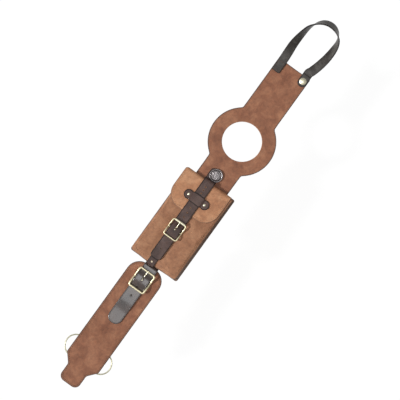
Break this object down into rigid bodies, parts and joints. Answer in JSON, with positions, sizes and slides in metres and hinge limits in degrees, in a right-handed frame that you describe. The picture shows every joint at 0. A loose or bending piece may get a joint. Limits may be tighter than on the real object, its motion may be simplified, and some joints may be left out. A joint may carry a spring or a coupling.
{
  "type": "motorcycle fuel tank strap",
  "caption": "Flat leather strap for a motorcycle tank with a filler-cap ring, a buckled pouch, a neck loop and a buckled lower panel with fixing rings.",
  "frame": {"origin": "centre of the filler-cap hole, on the underside of the tank panel", "axes": "+Z out of the grain side, +Y along the strap towards the neck loop, +X across the strap to the right"},
  "size_m": [0.1439, 0.9385, 0.0329],
  "materials": {
    "tan_leather": "waxed, mottled, matt",
    "flap_leather": "waxed, mottled, matt",
    "lining_leather": "flesh side, matt",
    "dark_leather": "oiled bridle leather, satin",
    "thread": "waxed linen thread",
    "brass": "polished solid brass",
    "antique_silver": "antiqued silver plate, dark recesses",
    "hidden_steel": "nickel plated",
    "copper_rivet": "plain copper"
  },
  "bodies": {
    "tank_body": {"tank_panel": "tan_leather", "loop_anchor_tab": "dark_leather", "loop_stitching": "thread", "snap_stud": "hidden_steel", "snap_post": "hidden_steel", "concho": "antique_silver", "concho_screw": "hidden_steel", "closure_strap_anchor": "dark_leather", "pouch_back": "tan_leather", "pouch_gusset": "tan_leather", "pouch_front": "tan_leather", "pouch_stitching": "thread", "pouch_rivets": "copper_rivet", "small_buckle_chape": "dark_leather", "small_chape_rivets": "brass", "link_strap_anchor": "dark_leather", "link_rivets": "copper_rivet"},
    "neck_loop": {"loop_strap": "dark_leather"},
    "snap_end": {"snap_tab": "dark_leather", "snap_cap": "brass", "snap_socket": "hidden_steel"},
    "flap": {"pouch_flap": "flap_leather", "flap_stitching": "thread", "closure_strap": "dark_leather", "closure_keeper": "dark_leather", "keeper_rivets": "brass", "keeper_burrs": "copper_rivet"},
    "small_frame": {"small_buckle_frame": "brass"},
    "small_prong": {"small_buckle_prong": "brass"},
    "small_roller": {"small_buckle_roller": "brass"},
    "lower_body": {"lower_panel": "tan_leather", "lower_lining": "lining_leather", "large_buckle_chape": "dark_leather", "large_chape_rivets": "copper_rivet", "link_strap": "dark_leather", "ring_keeper": "dark_leather", "ring_keeper_rivets": "copper_rivet", "ring_keeper_burrs": "copper_rivet"},
    "large_frame": {"large_buckle_frame": "brass"},
    "large_prong": {"large_buckle_prong": "brass"},
    "left_ring": {"ring_left": "brass"},
    "right_ring": {"ring_right": "brass"}
  },
  "joints": [
    {"name": "loop_swing", "type": "hinge", "parent": "tank_body", "child": "neck_loop", "pos_m": [0, 0.191, 0.00555], "axis": [1, 0, 0], "range_deg": [-60, 75]},
    {"name": "snap_release", "type": "hinge", "parent": "tank_body", "child": "snap_end", "pos_m": [0.0295, 0.191, 0.00555], "axis": [-1, 0, 0], "range_deg": [0, 45]},
    {"name": "flap_open", "type": "hinge", "parent": "tank_body", "child": "flap", "pos_m": [-0.006, -0.1095, 0.0095], "axis": [-1, 0, 0], "range_deg": [0, 90], "deforming": ["closure_strap"]},
    {"name": "small_buckle_rock", "type": "hinge", "parent": "tank_body", "child": "small_frame", "pos_m": [-0.006, -0.23146, 0.02393], "axis": [1, 0, 0], "range_deg": [-3, 3]},
    {"name": "small_prong_lift", "type": "hinge", "parent": "small_frame", "child": "small_prong", "pos_m": [-0.006, -0.23146, 0.02393], "axis": [1, 0, 0], "range_deg": [0, 60]},
    {"name": "small_roller_spin", "type": "hinge", "parent": "small_frame", "child": "small_roller", "pos_m": [-0.006, -0.2123, 0.02748], "axis": [1, 0, 0], "continuous": true},
    {"name": "panel_fold", "type": "hinge", "parent": "tank_body", "child": "lower_body", "pos_m": [0, -0.3213, 0.0042], "axis": [1, 0, 0], "range_deg": [-30, 60], "deforming": ["link_strap"]},
    {"name": "large_buckle_rock", "type": "hinge", "parent": "lower_body", "child": "large_frame", "pos_m": [0, -0.358, 0.00733], "axis": [1, 0, 0], "range_deg": [-3, 3]},
    {"name": "large_prong_lift", "type": "hinge", "parent": "large_frame", "child": "large_prong", "pos_m": [0, -0.358, 0.00733], "axis": [1, 0, 0], "range_deg": [0, 60]},
    {"name": "left_ring_swing", "type": "hinge", "parent": "lower_body", "child": "left_ring", "pos_m": [-0.008, -0.55, 0.0044], "axis": [0, -1, 0], "range_deg": [0, 85]},
    {"name": "right_ring_swing", "type": "hinge", "parent": "lower_body", "child": "right_ring", "pos_m": [0.008, -0.55, 0.0044], "axis": [0, 1, 0], "range_deg": [0, 85]}
  ]
}
